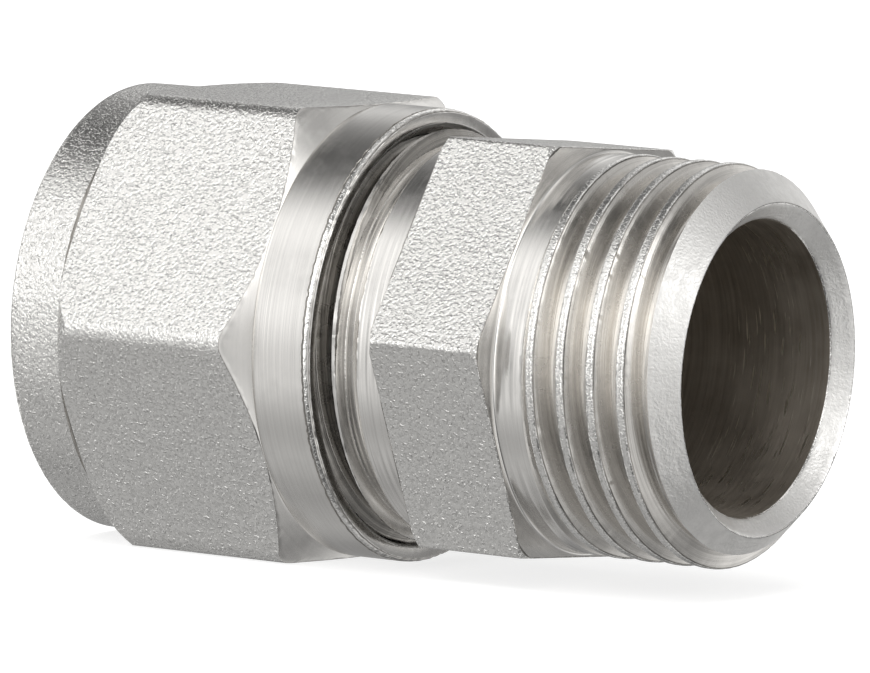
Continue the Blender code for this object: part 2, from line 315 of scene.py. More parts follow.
def piece_from(name: str, mesh: bpy.types.Mesh) -> bpy.types.Object:
    """Cleans a mesh and puts it on a new object.

    Args:
        name: The piece's name.
        mesh: A closed mesh, perhaps with points on each other.

    Returns:
        The object, linked to the scene and shaded smooth with sharp corners kept.
    """
    shape = bmesh.new()
    shape.from_mesh(mesh)
    bmesh.ops.remove_doubles(shape, verts=shape.verts, dist=WELD * MM)
    bmesh.ops.dissolve_degenerate(shape, edges=shape.edges, dist=SLIVER * MM)
    bmesh.ops.recalc_face_normals(shape, faces=shape.faces)
    shape.to_mesh(mesh)
    shape.free()
    mesh.shade_smooth()
    mesh.set_sharp_from_angle(angle=math.radians(SHARP_ANGLE))
    return linked(name, mesh)


def linked(name: str, data: bpy.types.ID) -> bpy.types.Object:
    """Puts a mesh, lamp or camera on a new object in the scene.

    Args:
        name: The object's name.
        data: What it shows.

    Returns:
        The object.
    """
    made = bpy.data.objects.new(name, data)
    bpy.context.scene.collection.objects.link(made)
    return made


def meet(place: np.ndarray, radius: np.ndarray, limit: Limit, side: float) -> None:
    """Moves the point beside each crossing of a limit onto the crossing, so that the edge there is crisp.

    Args:
        place: The points' places, a row for each ring. Changed in place.
        radius: Their radii, likewise.
        limit: The limit's radius at each place.
        side: 1 where the metal outside the limit goes, -1 where the metal inside it goes.
    """
    over = side * (radius - limit(place))
    before, after = over[:-1], over[1:]
    inward, outward = (before <= 0.0) & (after > 0.0), (before > 0.0) & (after <= 0.0)
    crossing = inward | outward
    share = np.where(crossing, before / np.where(crossing, before - after, 1.0), 0.0)
    for values in (place, radius):
        met = values[:-1] + share * (values[1:] - values[:-1])
        values[1:] = np.where(inward, met, values[1:])
        values[:-1] = np.where(outward, met, values[:-1])


class Corner(NamedTuple):
    """One corner of a thread's outline.

    The share of the pitch is counted from the crest's middle. Wear is how far, in millimetres, a point may
    stray where the tool and handling have roughened the edge. The zone is the finish to the next corner.
    """

    share: float
    radius: float
    wear: float
    zone: Zone


@dataclass(frozen=True)
class Thread:
    """One helical thread: right-handed, with its crest's middle at a known place.

    Each corner's line strays towards the axis by its wear, and along the axis by a share of it.
    """

    pitch: float
    crest: float
    outline: tuple[Corner, ...]
    seed: Seed
    stray_along: float = 0.6

    def radius_at(self, turned: np.ndarray) -> np.ndarray:
        """Reads the outline.

        Args:
            turned: How many turns past a crest's middle each point is.

        Returns:
            The outline's radius there.
        """
        first = self.outline[0]
        shares = [corner.share for corner in self.outline] + [first.share + 1.0]
        radii = [corner.radius for corner in self.outline] + [first.radius]
        return np.interp((turned - first.share) % 1.0 + first.share, shares, radii)

    def cut(self, skin: Skin, start: float, end: float, lowest: Limit, highest: Limit) -> None:
        """Adds the thread's rings between two places.

        Args:
            skin: The skin that takes them.
            start: The place where the thread begins.
            end: The place where it ends.
            lowest: The least radius at each place.
            highest: The greatest radius at each place.
        """
        round_axis = skin.angles / TURN
        wander = [Wander(self.seed + number) for number in range(2 * len(self.outline))]
        places, radii, strays, zones = [], [], [], []
        first = math.floor((start - self.crest) / self.pitch) - 1
        last = math.ceil((end - self.crest) / self.pitch) + 1
        for turn in range(first, last):
            for number, corner in enumerate(self.outline):
                lines = wander[2 * number : 2 * number + 2]
                stray, shift = (line.at(turn + round_axis) * corner.wear for line in lines)
                free = self.crest + self.pitch * (turn + corner.share + round_axis) + shift * self.stray_along
                place = np.clip(free, start, end)
                held = self.radius_at((place - self.crest) / self.pitch - round_axis)
                places.append(place)
                radii.append(np.where(free == place, corner.radius, held))
                strays.append(np.abs(stray))
                zones.append(corner.zone)
        place_rows, radius_rows = np.array(places), np.array(radii)
        meet(place_rows, radius_rows, highest, 1.0)
        meet(place_rows, radius_rows, lowest, -1.0)
        radius_rows = np.clip(radius_rows, lowest(place_rows), highest(place_rows)) - np.array(strays)
        for place, radius, zone in zip(place_rows, radius_rows, zones):
            skin.ring(place, radius, zone)


@dataclass(frozen=True)
class Hexagon:
    """A hexagon's outline round the axis: flats, and corners rounded to a radius.

    Columns crowd together at each corner, and the even ones keep clear of them.
    """

    across_flats: float
    corner_radius: float
    clocking: float
    crowd: int = 9
    crowd_reach: float = 2.5
    clearing: float = 1.15

    def radius(self, angles: np.ndarray) -> np.ndarray:
        """Reads the outline.

        Args:
            angles: The angles round the axis, in radians.

        Returns:
            Its distance from the axis at each of them.
        """
        sector = TURN / 6.0
        half = sector / 2.0
        flat = self.across_flats / 2.0
        off = (angles - math.radians(self.clocking) + half) % sector - half
        arc_centre = (flat - self.corner_radius) / math.cos(half)
        straight = flat / np.cos(half - np.abs(off))
        sideways = arc_centre * np.sin(np.abs(off))
        rounded = arc_centre * np.cos(off) + np.sqrt(np.maximum(self.corner_radius**2 - sideways**2, 0.0))
        size = self.corner_radius
        arc_end = math.atan2(size * math.sin(half), arc_centre + size * math.cos(half))
        return np.where(np.abs(off) < arc_end, rounded, straight)

    def columns(self, count: int) -> np.ndarray:
        """Spreads columns round the axis, closer together at the corners.

        Args:
            count: About how many columns to use.

        Returns:
            Rising angles from 0 to one whole turn, both included.
        """
        even = np.linspace(0.0, TURN, count + 1)
        reach = self.crowd_reach * self.corner_radius / self.across_flats * math.sin(TURN / 12.0)
        crowd = np.linspace(-reach, reach, self.crowd)
        corners = (math.radians(self.clocking) + np.arange(6) * TURN / 6.0) % TURN
        clear = reach * self.clearing
        kept = [a for a in even if all(abs((a - c + math.pi) % TURN - math.pi) > clear for c in corners)]
        extra = [(c + step) % TURN for c in corners for step in crowd]
        nearly = 1e-5
        inner = sorted(a for a in [*kept, *extra] if nearly < a < TURN - nearly)
        return np.array([0.0, *inner, TURN])


def arc(centre: Point, size: float, start: float, end: float, steps: int) -> list[Point]:
    """Points of an arc in the plane of place and radius.

    Args:
        centre: The place and radius of its middle.
        size: Its radius.
        start: The angle that it starts at, in degrees, from the axis's direction.
        end: The angle that it ends at.
        steps: How many pieces it has.

    Returns:
        Pairs of place and radius, both ends included.
    """
    turned = [math.radians(start + (end - start) * step / steps) for step in range(steps + 1)]
    return [(centre[0] + size * math.cos(a), centre[1] + size * math.sin(a)) for a in turned]


# Materials


def paint(colour: Colour, shade: float = 1.0) -> tuple[float, float, float, float]:
    """A socket's colour: this one, darkened by a factor."""
    return (*(part * shade for part in colour), 1.0)


class Wiring:
    """A node tree while it is being drawn."""

    def __init__(self, tree: bpy.types.NodeTree) -> None:
        """Takes the tree."""
        self.tree = tree

    def node(self, kind: str, **values: object) -> bpy.types.Node:
        """Adds a node.

        Args:
            kind: Its type.
            **values: The properties to set on it.

        Returns:
            The node.
        """
        made = self.tree.nodes.new(kind)
        for key, value in values.items():
            setattr(made, key, value)
        return made

    def feed(self, socket: Socket, value: object) -> None:
        """Gives a socket what it reads.

        Args:
            socket: The socket.
            value: An output to link to it, or else the socket's own value.
        """
        if isinstance(value, Socket):
            self.tree.links.new(value, socket)
        else:
            socket.default_value = value

    def fed(self, made: bpy.types.Node, *values: object) -> Socket:
        """Feeds a node's first inputs.

        Args:
            made: The node.
            *values: What the inputs read, in order.

        Returns:
            The node's first output.
        """
        for socket, value in zip(made.inputs, values):
            self.feed(socket, value)
        return made.outputs[0]

    def maths(self, operation: str, *values: object) -> Socket:
        """Adds a Math node on these values and returns its output."""
        return self.fed(self.node("ShaderNodeMath", operation=operation), *values)


class Sketch(Wiring):
    """A material's node tree while it is being drawn."""

    def __init__(self, name: str) -> None:
        """Starts an empty material with its shader.

        Args:
            name: The material's name.
        """
        self.material = bpy.data.materials.new(name)
        self.material.use_nodes = True
        super().__init__(self.material.node_tree)
        self.shader = self.tree.nodes["Principled BSDF"]
        self.spot = self.node("ShaderNodeTexCoord").outputs["Object"]

    def noise(self, vector: Socket, scale: float, detail: float = 2.0, rough: float = 0.5) -> Socket:
        """Adds a noise texture.

        Args:
            vector: Where it is read.
            scale: Its waves per metre.
            detail: How many finer layers it has.
            rough: How strong they are.

        Returns:
            Its value, from 0 to 1.
        """
        made = self.node("ShaderNodeTexNoise")
        for name, value in (("Vector", vector), ("Scale", scale), ("Detail", detail), ("Roughness", rough)):
            self.feed(made.inputs[name], value)
        return made.outputs[0]

    def spread(
        self, value: Socket, low: float, high: float, to_low: float = 0.0, to_high: float = 1.0
    ) -> Socket:
        """Maps a value from one range to another, kept within it.

        Args:
            value: The value.
            low: Where the first range starts.
            high: Where it ends.
            to_low: What the start becomes.
            to_high: What the end becomes.

        Returns:
            The mapped value.
        """
        made = self.node("ShaderNodeMapRange")
        self.feed(made.inputs["Value"], value)
        for name, number in (("From Min", low), ("From Max", high), ("To Min", to_low), ("To Max", to_high)):
            made.inputs[name].default_value = number
        return made.outputs[0]

    def blend(self, share: object, first: object, second: object) -> Socket:
        """Mixes two colours.

        Args:
            share: How much of the second colour there is.
            first: The first colour.
            second: The second colour.

        Returns:
            The mixed colour.
        """
        made = self.node("ShaderNodeMix", data_type="RGBA")
        for number, value in ((0, share), (6, first), (7, second)):
            self.feed(made.inputs[number], value)
        return made.outputs[2]

    def turning(self, fineness: float, sweep: float, drift: float = 0.35) -> Socket:
        """A place that changes fast along and away from the axis and slowly round it.

        Args:
            fineness: Lines per metre across the turning marks.
            sweep: Changes per metre along them.
            drift: How much the radius counts beside the place along the axis.

        Returns:
            A vector to read noise at, with a scale of one.
        """
        parts = self.node("ShaderNodeSeparateXYZ")
        self.feed(parts.inputs[0], self.spot)
        x, y, z = parts.outputs
        squares = [self.maths("MULTIPLY", side, side) for side in (y, z)]
        radius = self.maths("SQRT", self.maths("ADD", *squares))
        across = self.maths("MULTIPLY", self.maths("MULTIPLY_ADD", radius, drift, x), fineness)
        sweeps = [self.maths("MULTIPLY", side, sweep) for side in (y, z)]
        return self.fed(self.node("ShaderNodeCombineXYZ"), across, *sweeps)

    def relief(self, height: Socket, depth: float, under: Socket | None = None) -> Socket:
        """Turns a height into a bumped normal.

        Args:
            height: The height, from 0 to 1.
            depth: What 1 is in millimetres.
            under: Another bump's normal, to add this one to.

        Returns:
            The normal.
        """
        made = self.node("ShaderNodeBump")
        made.inputs["Strength"].default_value = 1.0
        made.inputs["Distance"].default_value = depth * MM
        self.feed(made.inputs["Height"], height)
        if under is not None:
            self.feed(made.inputs["Normal"], under)
        return made.outputs[0]

    def wear(
        self, colour: Socket, roughness: Socket, normal: Socket, metallic: float = 1.0
    ) -> bpy.types.Material:
        """Feeds the shader.

        Args:
            colour: The base colour.
            roughness: The roughness.
            normal: The normal.
            metallic: How metallic it is.

        Returns:
            The finished material.
        """
        self.feed(self.shader.inputs["Base Color"], colour)
        self.feed(self.shader.inputs["Roughness"], roughness)
        self.feed(self.shader.inputs["Normal"], normal)
        self.shader.inputs["Metallic"].default_value = metallic
        return self.material


@dataclass(frozen=True)
class TurnedNickel:
    """Nickel on a turned surface: bright, with fine lines round the axis."""

    name: str
    colour: Colour = (0.88, 0.864, 0.84)
    roughness: float = 0.2
    line_depth: float = 0.0035
    line_shade: float = 0.93
    fineness: float = 10000.0
    drift: float = 0.35
    sweep: float = 60.0
    broad_share: float = 0.33
    broad_sweep: float = 90.0
    blotches: float = 900.0

    def material(self) -> bpy.types.Material:
        """Draws the finish.

        Returns:
            The material.
        """
        sketch = Sketch(self.name)
        fine = sketch.noise(sketch.turning(self.fineness, self.sweep, self.drift), 1.0, 2.0, 0.6)
        broad_lines = sketch.turning(self.fineness * self.broad_share, self.broad_sweep, self.drift)
        broad = sketch.noise(broad_lines, 1.0, 1.0)
        blotch = sketch.noise(sketch.spot, self.blotches, 3.0, 0.6)
        normal = sketch.relief(fine, self.line_depth)
        normal = sketch.relief(broad, self.line_depth * 0.5, normal)
        dull, bright = paint(self.colour, self.line_shade), paint(self.colour)
        colour = sketch.blend(sketch.spread(fine, 0.35, 0.65), dull, bright)
        roughness = sketch.spread(blotch, 0.35, 0.65, self.roughness * 0.8, self.roughness * 1.3)
        return sketch.wear(colour, roughness, normal)


@dataclass(frozen=True)
class ForgedNickel:
    """Nickel over a forged and blasted surface: satin, with a fine pebbled grain; its hollows carry painted
    shade.
    """

    name: str
    colour: Colour = (0.86, 0.852, 0.834)
    roughness: float = 0.2
    grain: float = 5400.0
    grain_depth: float = 0.0155
    speck_grain: float = 0.9
    speck_depth: float = 1.7
    swell: float = 700.0
    swell_depth: float = 0.8
    # How dark the grain's hollows are painted: painted shade
    shade: float = 0.84

    def material(self) -> bpy.types.Material:
        """Draws the finish.

        Returns:
            The material.
        """
        sketch = Sketch(self.name)
        pebbles = sketch.noise(sketch.spot, self.grain, 1.2, 0.45)
        specks = sketch.noise(sketch.spot, self.grain * self.speck_grain, 0.0)
        swell = sketch.noise(sketch.spot, self.swell, 1.0)
        normal = sketch.relief(sketch.spread(pebbles, 0.4, 0.57), self.grain_depth)
        normal = sketch.relief(sketch.spread(specks, 0.66, 0.74), self.grain_depth * self.speck_depth, normal)
        normal = sketch.relief(swell, self.grain_depth * self.swell_depth, normal)
        # The pebbles' hollows take the darker colour: painted shade
        dull, bright = paint(self.colour, self.shade), paint(self.colour)
        colour = sketch.blend(sketch.spread(pebbles, 0.36, 0.42), dull, bright)
        roughness = sketch.spread(pebbles, 0.35, 0.6, self.roughness * 1.2, self.roughness * 0.9)
        return sketch.wear(colour, roughness, normal)


@dataclass(frozen=True)
class FacedNickel:
    """Nickel on a faced or bevelled end: satin and a little mottled, with fine grit along the cut."""

    name: str
    colour: Colour = (0.92, 0.912, 0.896)
    roughness: float = 0.42
    mottling: float = 1500.0
    fineness: float = 9000.0
    sweep: float = 900.0
    brushed_depth: float = 0.004
    grit: float = 6500.0
    grit_depth: float = 0.006
    shade: float = 0.9

    def material(self) -> bpy.types.Material:
        """Draws the finish.

        Returns:
            The material.
        """
        sketch = Sketch(self.name)
        mottle = sketch.noise(sketch.spot, self.mottling, 4.0, 0.65)
        brushed = sketch.noise(sketch.turning(self.fineness, self.sweep), 1.0, 2.0, 0.6)
        grit = sketch.noise(sketch.spot, self.grit, 1.0)
        normal = sketch.relief(brushed, self.brushed_depth)
        normal = sketch.relief(sketch.spread(grit, 0.4, 0.6), self.grit_depth, normal)
        dull, bright = paint(self.colour, self.shade), paint(self.colour)
        colour = sketch.blend(sketch.spread(mottle, 0.36, 0.6), dull, bright)
        roughness = sketch.spread(mottle, 0.3, 0.7, self.roughness * 1.15, self.roughness * 0.85)
        return sketch.wear(colour, roughness, normal)


@dataclass(frozen=True)
class BoreMetal:
    """The bore's wall: drilled, thinly plated, tarnished brown and scratched along the drill's marks."""

    name: str
    bright: Colour = (0.46, 0.42, 0.37)
    dark: Colour = (0.25, 0.22, 0.185)
    scratched: Colour = (0.8, 0.77, 0.69)
    drift: float = 0.2
    fineness: float = 5200.0
    sweep: float = 170.0
    ring_depth: float = 0.012
    stains: float = 260.0
    clusters: float = 170.0
    scratch_fineness: float = 8000.0
    scratch_sweep: float = 600.0
    polish: float = 0.35

    def material(self) -> bpy.types.Material:
        """Draws the finish.

        Returns:
            The material.
        """
        sketch = Sketch(self.name)
        rings = sketch.noise(sketch.turning(self.fineness, self.sweep, self.drift), 1.0, 3.0, 0.6)
        stain = sketch.noise(sketch.spot, self.stains, 4.0, 0.65)
        shares = [sketch.spread(part, 0.3, 0.7, 0.0, 0.6) for part in (rings, stain)]
        colour = sketch.blend(sketch.maths("ADD", *shares), paint(self.dark), paint(self.bright))
        cluster = sketch.spread(sketch.noise(sketch.spot, self.clusters, 0.0), 0.46, 0.6)
        along = sketch.turning(self.scratch_fineness, self.scratch_sweep, self.drift)
        strokes = sketch.spread(sketch.noise(along, 1.0, 0.0), 0.69, 0.76)
        scratch = sketch.maths("MULTIPLY", strokes, cluster)
        colour = sketch.blend(scratch, colour, paint(self.scratched))
        dullness = sketch.spread(stain, 0.3, 0.7, 0.6, 0.72)
        roughness = sketch.maths("MULTIPLY_ADD", scratch, -self.polish, dullness)
        return sketch.wear(colour, roughness, sketch.relief(rings, self.ring_depth))


@dataclass(frozen=True)
class Brass:
    """Bare turned brass, as on the split ring inside."""

    name: str
    colour: Colour = (0.74, 0.52, 0.24)
    tarnished: Colour = (0.4588, 0.286, 0.12)
    fineness: float = 8000.0
    sweep: float = 70.0
    line_depth: float = 0.006
    tarnish: float = 320.0

    def material(self) -> bpy.types.Material:
        """Draws the finish.

        Returns:
            The material.
        """
        sketch = Sketch(self.name)
        lines = sketch.noise(sketch.turning(self.fineness, self.sweep), 1.0, 2.0, 0.6)
        tarnish = sketch.noise(sketch.spot, self.tarnish, 3.0, 0.6)
        colour = sketch.blend(sketch.spread(tarnish, 0.4, 0.75), paint(self.colour), paint(self.tarnished))
        roughness = sketch.spread(tarnish, 0.3, 0.7, 0.22, 0.38)
        return sketch.wear(colour, roughness, sketch.relief(lines, self.line_depth))


@dataclass(frozen=True)
class Moulded:
    """A moulded rubber or plastic, with a faint grain and a little dust."""

    name: str
    colour: Colour
    dusty: Colour
    roughness: float
    grain: float = 5200.0
    grain_depth: float = 0.008
    dust: float = 700.0
    dust_roughness: float = 0.15

    def material(self) -> bpy.types.Material:
        """Draws the finish.

        Returns:
            The material.
        """
        sketch = Sketch(self.name)
        grain = sketch.noise(sketch.spot, self.grain, 2.0, 0.6)
        dust = sketch.noise(sketch.spot, self.dust, 4.0, 0.7)
        colour = sketch.blend(sketch.spread(dust, 0.5, 0.8, 0.0, 0.5), paint(self.colour), paint(self.dusty))
        roughness = sketch.spread(dust, 0.3, 0.8, self.roughness, self.roughness + self.dust_roughness)
        return sketch.wear(colour, roughness, sketch.relief(grain, self.grain_depth), metallic=0.0)


# The fitting


@dataclass
class FittingBody:
    """The body: stem, socket, nut thread, hexagon and threaded outlet.

    Its places are counted from the hexagon's face on the pipe side, as in the CAD source.
    """

    columns: int = 320
    hexagon: Hexagon = Hexagon(21.3, 0.25, -3.8)
    hexagon_length: float = 6.6
    hexagon_trim: float = 0.35
    flat_shares: tuple[float, ...] = (0.2, 0.4, 0.6, 0.8)
    hexagon_nick: float = 0.02
    nick_share: float = 0.4
    edge_length: float = 0.08
    edge_depth: float = 0.06
    edge_share: float = 0.2
    rear_land: float = 0.3
    rear_bevel: float = 0.045
    front_land: float = 0.25
    front_bevel: float = 0.08
    outlet_end: float = 16.8
    outlet_radius: float = 10.4775
    outlet_root: float = 9.3155
    outlet_pitch: float = 1.814
    outlet_crest: float = 16.93
    neck_length: float = 1.7
    neck_radius: float = 10.4175
    neck_fillet: float = 0.14
    neck_ridges: Ridges = Ridges(0.12, 0.02, Seed.NECK)
    runout: float = 0.9
    cone_length: float = 1.85
    cone_reach: tuple[float, float] = (-0.03, 0.02)
    bore_radius: float = 7.6955
    bore_end: float = 4.2
    bore_rings: tuple[float, float] = (12.0, 8.0)
    drill_angle: float = 59.0
    lip_radius: float = 8.6155
    lip_margins: tuple[float, float] = (0.06, 0.01)
    lip_nick: float = 0.012
    lip_rings: tuple[EdgeRing, ...] = (EdgeRing(0.0, 0.0, Zone.EDGE, -1.0), EdgeRing(-0.03, 0.05))
    lip_foot: tuple[EdgeRing, ...] = (EdgeRing(0.07, -0.06, Zone.EDGE, -1.0), EdgeRing(-0.03, -0.01, Zone.BORE))
    rim_radius: float = 8.6755
    collar_radius: float = 10.6
    collar_length: float = 1.72
    collar_nick: float = 0.01
    collar_edge: tuple[EdgeRing, ...] = (
        EdgeRing(0.02, 0.08),
        EdgeRing(0.08, 0.02, nicked=1.0),
        EdgeRing(0.16, 0.0),
    )
    collar_ridges: Ridges = Ridges(0.1, 0.02, Seed.COLLAR)
    relief_start: float = -2.69
    relief_radius: float = 10.0
    relief_fillet: float = 0.45
    relief_ridges: Ridges = Ridges(0.075, 0.028, Seed.RELIEF)
    joint_start: float = -10.62
    joint_radius: float = 10.9
    joint_root: float = 10.09
    joint_pitch: float = 1.5
    joint_crest: float = -3.59
    joint_rounding: float = 0.08
    socket_floor: float = -7.02
    socket_radius: float = 8.25
    socket_cone: float = 1.4
    stem_tip: float = -22.02
    stem_radius: float = 5.9
    stem_bore: float = 3.75
    tip_radius: float = 5.3
    tip_edge: tuple[Point, ...] = ((0.0, 0.1), (0.04, 0.02), (0.12, 0.0))
    seal_floor: float = 4.55
    seal_places: tuple[float, float] = (4.9, 8.3)
    seal_half_groove: float = 0.9
    groove_edge: float = 0.05
    groove_foot: float = 0.1
    barb_start: float = 0.9
    barb_pitch: float = 1.15
    barb_outline: tuple[Point, ...] = ((0.0, 0.35), (0.76, 0.03), (0.84, 0.0), (0.98, 0.01), (1.0, 0.04))

    def barbs(self, start: float) -> list[Point]:
        """Draws two saw teeth with worn tips.

        Args:
            start: Their place on the stem.

        Returns:
            Pairs of place and radius.
        """
        tip, pitch = self.stem_radius, self.barb_pitch
        feet = (start, start + pitch)
        return [(foot + share * pitch, tip - sunk) for foot in feet for share, sunk in self.barb_outline]

    def add_stem(self, skin: Skin) -> None:
        """Adds the stem, its two seal grooves and the socket round it.

        Args:
            skin: The body's skin.
        """
        tip, wall, floor = self.stem_tip, self.stem_radius, self.seal_floor
        edge, foot = self.groove_edge, self.groove_foot
        points = [(tip, self.stem_bore + 0.15)]
        points += [(tip + along, self.tip_radius - sunk) for along, sunk in self.tip_edge]
        points += self.barbs(tip + self.barb_start)
        for middle in self.seal_places:
            low, high = tip + middle - self.seal_half_groove, tip + middle + self.seal_half_groove
            points += [(low - edge, wall), (low, wall - edge), (low, floor + foot), (low + foot, floor)]
            points += [(high - foot, floor), (high, floor + foot), (high, wall - edge), (high + edge, wall)]
        points += self.barbs(tip + self.seal_places[-1] + self.seal_half_groove + self.barb_pitch)
        points += [(self.socket_floor, wall), (self.socket_floor, self.socket_radius)]
        points += [(self.joint_start + self.socket_cone, self.socket_radius)]
        points += [(self.joint_start + edge, self.socket_radius + self.socket_cone - edge)]
        skin.profile(points, Zone.TURNED)

    def add_joint(self, skin: Skin) -> None:
        """Adds the thread that the nut runs on, and the relief groove and collar behind it.

        Args:
            skin: The body's skin.
        """
        crest, root = self.joint_radius, self.joint_root
        rounded = crest - self.joint_rounding
        # Past the crest the flanks and roots are dark: painted shade where the thread sits in the nut's mouth
        outline = (
            Corner(-0.0625, crest, 0.012, Zone.TURNED),
            Corner(0.0625, crest, 0.02, Zone.GAP),
            Corner(0.1, rounded, 0.01, Zone.GAP),
            Corner(0.375, root, 0.0, Zone.GAP),
            Corner(0.625, root, 0.0, Zone.GAP),
            Corner(0.9, rounded, 0.01, Zone.TURNED),
        )
        thread = Thread(self.joint_pitch, self.joint_crest, outline, Seed.JOINT_THREAD)
        start, floor = self.joint_start, self.relief_radius

        def lowest(place: np.ndarray) -> np.ndarray:
            """The chamfer's foot."""
            return np.full_like(place, floor)

        def highest(place: np.ndarray) -> np.ndarray:
            """The chamfer at the thread's start."""
            return floor + (place - start)

        thread.cut(skin, start, self.relief_start, lowest, highest)
        wall = -self.collar_length
        size = self.relief_fillet
        skin.ring(self.relief_start, floor, Zone.EDGE)
        # The relief groove under the nut's mouth takes the darker finish: painted shade
        skin.ridged(self.relief_start + 0.03, wall - size - 0.04, floor, self.relief_ridges, Zone.ROOT)
        skin.profile(arc((wall - size, floor + size), size, 270.0, 360.0, 6), Zone.TURNED)
        nick = np.abs(skin.waver(Seed.COLLAR_EDGE, self.collar_nick))
        skin.edge(wall, self.collar_radius, self.collar_edge, nick)
        skin.ridged(wall + 0.24, -0.02, self.collar_radius, self.collar_ridges, Zone.TURNED)

    def add_hexagon(self, skin: Skin) -> None:
        """Adds the hexagon, its corners trimmed by a 30 degree cone at both ends.

        Args:
            skin: The body's skin.
        """
        outer = self.hexagon.radius(skin.angles)
        trimmed = self.hexagon.across_flats / 2.0 / math.cos(TURN / 12.0) - self.hexagon_trim
        inset = np.maximum(outer - trimmed, 0.0) * TRIM_SLOPE
        face = np.minimum(outer, trimmed)
        nick = np.abs(skin.waver(Seed.BODY_HEXAGON, self.hexagon_nick))
        foot = face - self.edge_depth - nick
        half = self.edge_depth / 2.0
        middle = face - half - nick * self.nick_share + (outer - face) * self.edge_share
        end, length = self.hexagon_length, self.edge_length
        skin.ring(0.0, np.minimum(self.collar_radius + self.rear_land, face - self.rear_bevel), Zone.TURNED)
        # The band at the hexagon's rear edge is dark: painted shade
        skin.ring(0.0, np.maximum(foot, self.collar_radius + 0.01), Zone.GAP)
        skin.ring(half + inset * self.edge_share, middle, Zone.FORGED)
        skin.ring(length + inset, outer, Zone.FORGED)
        for share in self.flat_shares:
            skin.ring(end * share, outer, Zone.FORGED)
        skin.ring(end - length - inset, outer, Zone.FORGED)
        # The band at the hexagon's front edge is dark: painted shade
        skin.ring(end - half - inset * self.edge_share, middle, Zone.GAP)
        skin.ring(end, np.maximum(foot, self.neck_radius + self.neck_fillet), Zone.TURNED)
        skin.ring(end, np.minimum(self.neck_radius + self.front_land, face - self.front_bevel), Zone.TURNED)

    def outlet_outline(self) -> tuple[Corner, ...]:
        """Draws the outlet thread: worn crests, flanks a little hollow and rounded roots.

        Returns:
            The outline's corners.
        """
        crest, root = self.outlet_radius, self.outlet_root
        upper, lower = 0.62 * crest + 0.38 * root - 0.05, 0.27 * crest + 0.73 * root
        # A thin band below each crest is dark and the flanks and roots take the darker finish: painted shade
        return (
            Corner(-0.1, crest - 0.015, 0.008, Zone.EDGE),
            Corner(-0.06, crest, 0.003, Zone.EDGE),
            Corner(0.06, crest, 0.003, Zone.EDGE),
            Corner(0.1, crest - 0.015, 0.009, Zone.EDGE),
            Corner(0.122, crest - 0.05, 0.012, Zone.GAP),
            Corner(0.15, crest - 0.11, 0.007, Zone.ROOT),
            Corner(0.24, upper, 0.004, Zone.ROOT),
            Corner(0.33, lower, 0.003, Zone.ROOT),
            Corner(0.385, root + 0.055, 0.0, Zone.ROOT),
            Corner(0.42, root, 0.0, Zone.ROOT),
            Corner(0.58, root, 0.0, Zone.ROOT),
            Corner(0.615, root + 0.055, 0.0, Zone.ROOT),
            Corner(0.67, lower, 0.003, Zone.ROOT),
            Corner(0.76, upper, 0.004, Zone.ROOT),
            Corner(0.85, crest - 0.11, 0.008, Zone.EDGE),
            Corner(0.875, crest - 0.05, 0.01, Zone.EDGE),
        )

    def add_outlet(self, skin: Skin) -> None:
        """Adds the outlet's neck, its thread with run-out and end chamfer, and the rim.

        Args:
            skin: The body's skin.
        """
        end, neck, size = self.outlet_end, self.neck_radius, self.neck_fillet
        start = self.hexagon_length + self.neck_length
        skin.profile(arc((self.hexagon_length + size, neck + size), size, 180.0, 270.0, 5), Zone.TURNED)
        skin.ridged(self.hexagon_length + 0.2, start - 0.05, neck, self.neck_ridges, Zone.TURNED)
        depth = self.lip_radius - self.bore_radius

        def lowest(place: np.ndarray) -> np.ndarray:
            """The run-out into the neck."""
            return neck - (self.outlet_radius - self.outlet_root) * (place - start) / self.runout

        def highest(place: np.ndarray) -> np.ndarray:
            """The start's bevel and the cone on the outlet's end."""
            return np.minimum(neck + (place - start), self.rim_radius + (end - place))

        def on_cone(place: np.ndarray, radius: np.ndarray) -> np.ndarray:
            """Tells the end's cone and the lip's bevel from the rest.

            Args:
                place: The points' places.
                radius: Their radii.

            Returns:
                Which of them are on either.
            """
            over = radius - (self.rim_radius + (end - place))
            below, above = self.cone_reach
            cone = (place > end - self.cone_length) & (over > below) & (over < above)
            foot, tip = self.lip_margins
            return cone | (place > end - depth + foot) & (place < end - tip) & (radius < self.lip_radius)

        thread = Thread(self.outlet_pitch, self.outlet_crest, self.outlet_outline(), Seed.OUTLET_THREAD)
        thread.cut(skin, start, end, lowest, highest)
        skin.patches.append((on_cone, Zone.RIM))
        nick = np.abs(skin.waver(Seed.LIP, self.lip_nick))
        skin.edge(end, self.lip_radius, self.lip_rings, nick)
        for share in (0.25, 0.5, 0.75):
            skin.ring(end - depth * share, self.lip_radius - depth * share, Zone.TURNED)
        skin.edge(end - depth, self.bore_radius, self.lip_foot, nick)

    def add_bore(self, skin: Skin) -> None:
        """Adds the way through, back to the stem's tip.

        Args:
            skin: The body's skin.
        """
        slope = math.tan(math.radians(self.drill_angle))
        drilled = self.bore_end - (self.bore_radius - self.stem_bore) / slope
        points = [(place, self.bore_radius) for place in (*self.bore_rings, self.bore_end + 0.1)]
        points += [(self.bore_end - 0.05, self.bore_radius - 0.08), (drilled + 0.1, self.stem_bore + 0.17)]
        points += [(drilled - 0.05, self.stem_bore), (self.stem_tip + 0.15, self.stem_bore)]
        skin.profile(points, Zone.BORE)

    def build(self, finishes: list[bpy.types.Material]) -> bpy.types.Object:
        """Meshes and dresses the body.

        Args:
            finishes: One material for each zone, in the zones' order.

        Returns:
            The piece, in place and riding on its CAD body.
        """
        skin = Skin(self.hexagon.columns(self.columns))
        self.add_stem(skin)
        self.add_joint(skin)
        self.add_hexagon(skin)
        self.add_outlet(skin)
        self.add_bore(skin)
        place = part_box("fitting_body")[0].x - self.stem_tip * MM
        return settle(skin.grown("coupling_body"), "fitting_body", place, finishes)


